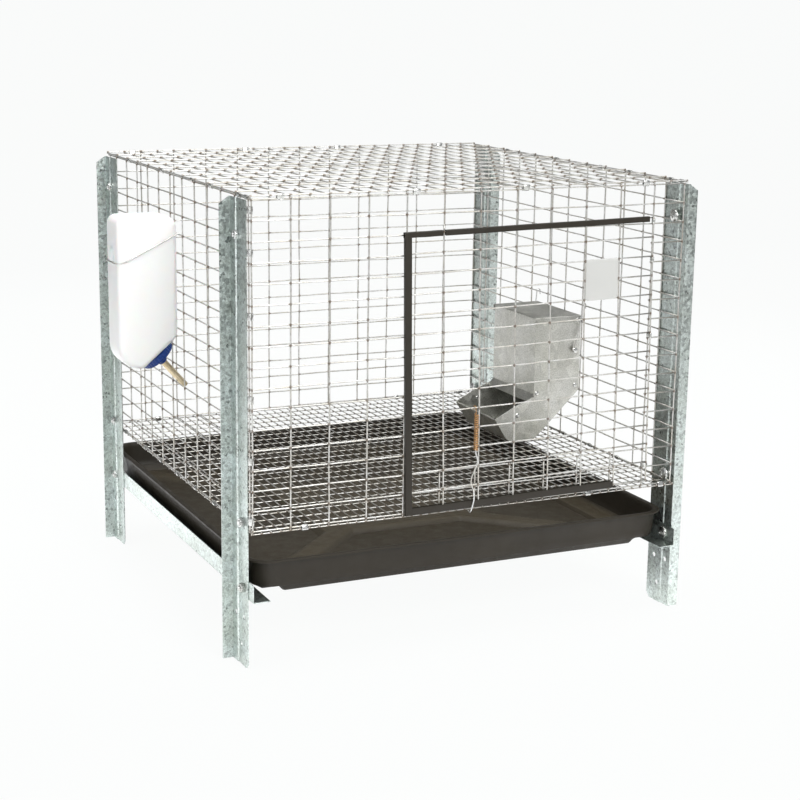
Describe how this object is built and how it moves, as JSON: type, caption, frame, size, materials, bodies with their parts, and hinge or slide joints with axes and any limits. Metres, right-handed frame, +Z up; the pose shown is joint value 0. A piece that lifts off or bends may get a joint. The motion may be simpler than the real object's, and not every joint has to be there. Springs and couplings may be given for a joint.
{
  "type": "wire rabbit cage",
  "caption": "Welded-wire small-animal cage on angle legs, with a hung front door, slide-out drop pan on rails, hanging sheet feeder and outside water bottle.",
  "frame": {"origin": "on the ground, below the middle of the whole object's plan outline", "axes": "+X to the right seen from the door side, +Y towards the back, +Z up"},
  "size_m": [0.7156, 0.651, 0.5935],
  "materials": {
    "wire": "galvanised, slightly dull",
    "trim": "satin",
    "card": "matt",
    "clips": "galvanised",
    "galvanised_sheet": "spangled zinc coat",
    "zinc_hardware": "bright zinc",
    "pan_plastic": "satin",
    "bottle_plastic": "translucent satin",
    "cap_plastic": "gloss",
    "gasket_rubber": "matt",
    "tube_metal": "polished",
    "spring_metal": "copper-coloured coat"
  },
  "bodies": {
    "cage": {"front_panel": "wire", "right_panel": "wire", "back_panel": "wire", "left_panel": "wire", "corner_bends": "wire", "top_panel": "wire", "floor_panel": "wire", "hinge_clips": "clips", "seam_clips": "clips", "top_clips": "clips", "floor_clips": "clips", "leg_front_left": "galvanised_sheet", "leg_front_right": "galvanised_sheet", "leg_rear_left": "galvanised_sheet", "leg_rear_right": "galvanised_sheet", "rail_left": "galvanised_sheet", "rail_right": "galvanised_sheet", "cage_bolts": "zinc_hardware", "cage_nuts": "zinc_hardware", "rail_bolts": "zinc_hardware", "rail_nuts": "zinc_hardware", "feeder_shell": "galvanised_sheet", "feeder_cheek_front": "galvanised_sheet", "feeder_cheek_rear": "galvanised_sheet", "feeder_hopper_front": "galvanised_sheet", "feeder_rivets": "zinc_hardware", "feeder_pivots": "zinc_hardware", "feeder_studs": "zinc_hardware", "feeder_hooks": "wire", "bottle": "bottle_plastic", "bottle_bail": "wire"},
    "door": {"door_panel": "wire", "door_trim_top_left": "trim", "door_trim_top_right": "trim", "door_trim_side": "trim", "door_trim_bottom": "trim", "door_tag": "card"},
    "latch": {"latch_spring": "spring_metal"},
    "latch_pull": {"latch_hook": "wire"},
    "pan": {"drop_pan": "pan_plastic"},
    "lid": {"feeder_lid": "galvanised_sheet"},
    "cap": {"bottle_cap": "cap_plastic", "bottle_gasket": "gasket_rubber", "sipper_tube": "tube_metal"},
    "ball": {"sipper_ball": "zinc_hardware"}
  },
  "joints": [
    {"name": "door_hinge", "type": "hinge", "parent": "cage", "child": "door", "pos_m": [0.28797, -0.31752, 0.3842], "axis": [-0.0175, 0, 0.9998], "range_deg": [0, 170]},
    {"name": "latch_swing", "type": "hinge", "parent": "door", "child": "latch", "pos_m": [0.02967, -0.3155, 0.31198], "axis": [-1, 0, 0], "range_deg": [0, 60]},
    {"name": "latch_stretch", "type": "slide", "parent": "latch", "child": "latch_pull", "axis": [0, 0, -1], "range_m": [0, 0.014], "stiffness_N_per_m": 400, "springref_m": -0.004, "deforming": ["latch_spring"]},
    {"name": "pan_slide", "type": "slide", "parent": "cage", "child": "pan", "axis": [0, -1, 0], "range_m": [0, 0.6]},
    {"name": "lid_hinge", "type": "hinge", "parent": "cage", "child": "lid", "pos_m": [0.32977, 0.00235, 0.3635], "axis": [0, 1, 0], "range_deg": [0, 90]},
    {"name": "cap_screw", "type": "hinge", "parent": "cage", "child": "cap", "pos_m": [-0.30033, -0.01455, 0.3525], "axis": [0.6561, 0, -0.7547], "range_deg": [0, 360]},
    {"name": "ball_lift", "type": "slide", "parent": "cap", "child": "ball", "axis": [-0.6561, 0, 0.7547], "range_m": [0, 0.008]}
  ]
}
